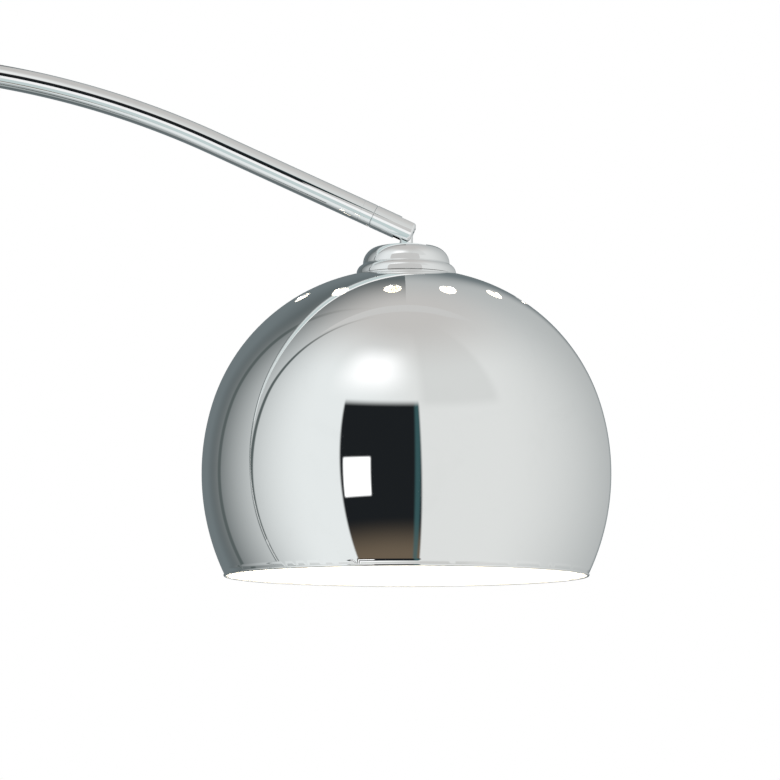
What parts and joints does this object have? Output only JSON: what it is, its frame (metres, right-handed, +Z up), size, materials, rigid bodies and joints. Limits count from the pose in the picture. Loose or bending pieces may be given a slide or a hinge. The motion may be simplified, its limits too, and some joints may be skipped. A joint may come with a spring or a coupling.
{
  "type": "arc floor lamp",
  "caption": "Arc floor lamp: a bent tube arm from a column on a round stone base, with a domed chrome shade hung from a tilting knuckle at its end.",
  "frame": {"origin": "centre of the round base's underside, on the floor", "axes": "+Z up; +X the way the arm bends over, towards the shade; the arm lies in the XZ plane; the lamp faces -Y"},
  "size_m": [1.4, 0.3298, 2],
  "materials": {
    "stone_black": "polished",
    "felt": "matte",
    "zinc_steel": "satin",
    "chromed_steel": "polished",
    "chromed_shade": "polished",
    "nylon": "satin",
    "black_plastic": "satin",
    "phenolic": "gloss",
    "fibre": "matte",
    "brass": "polished",
    "opal_glass": "matte"
  },
  "bodies": {
    "stand": {"base_felt": "felt", "base_slab": "stone_black", "base_stud": "zinc_steel", "base_washer": "zinc_steel", "base_nut": "zinc_steel", "foot_flange": "chromed_steel", "column_foot_plug": "zinc_steel", "column_lower": "chromed_steel", "column_middle": "chromed_steel", "column_upper": "chromed_steel", "column_joiner_lower": "chromed_steel", "column_joiner_upper": "chromed_steel", "cord_bush": "black_plastic", "column_collar": "chromed_steel", "collar_grub_screws": "zinc_steel"},
    "pad": {"clamp_pad": "nylon"},
    "knob": {"clamp_knob": "black_plastic", "clamp_screw": "zinc_steel"},
    "liner": {"guide_liner": "nylon"},
    "arm": {"arm_lower": "chromed_steel", "arm_middle": "chromed_steel", "arm_upper": "chromed_steel", "arm_sleeve_lower": "zinc_steel", "arm_sleeve_upper": "zinc_steel", "arm_foot_bush": "nylon", "arm_end_plug": "zinc_steel", "knuckle_ring": "chromed_steel"},
    "fork": {"knuckle_fork": "chromed_steel", "knuckle_grub_screw": "zinc_steel", "pivot_pin": "chromed_steel", "friction_washers": "fibre"},
    "head": {"knuckle_tongue": "chromed_steel", "shade_cap": "chromed_steel", "shade_shell": "chromed_shade", "shade_nipple": "brass", "nipple_nuts": "brass", "shade_washer": "brass", "lampholder_cap": "phenolic", "lampholder_body": "phenolic", "screw_shell": "brass", "centre_contact": "brass", "bulb_contact": "brass", "bulb_base": "chromed_shade", "bulb_glass": "opal_glass"}
  },
  "joints": [
    {"name": "clamp_advance", "type": "slide", "parent": "stand", "child": "pad", "axis": [-1, 0, 0], "range_m": [0, 0.0025]},
    {"name": "knob_turn", "type": "hinge", "parent": "pad", "child": "knob", "pos_m": [-0.095, 0, 1.145], "axis": [-1, 0, 0], "range_deg": [0, 720]},
    {"name": "arm_swivel", "type": "hinge", "parent": "stand", "child": "liner", "pos_m": [-0.095, 0, 1.165], "axis": [0, 0, 1], "range_deg": [-180, 180]},
    {"name": "arm_height", "type": "slide", "parent": "liner", "child": "arm", "axis": [0, 0, 1], "range_m": [-0.1, 0.1]},
    {"name": "head_turn", "type": "hinge", "parent": "arm", "child": "fork", "pos_m": [1.04878, 0, 1.86757], "axis": [0.907, 0, -0.421], "range_deg": [-60, 60]},
    {"name": "head_tilt", "type": "hinge", "parent": "fork", "child": "head", "pos_m": [1.08516, 0, 1.85069], "axis": [0, 1, 0], "range_deg": [-60, 30]}
  ],
  "couplings": [
    {"joint": "clamp_advance", "follows": "knob_turn", "m_per_rad": 0.00019894}
  ]
}
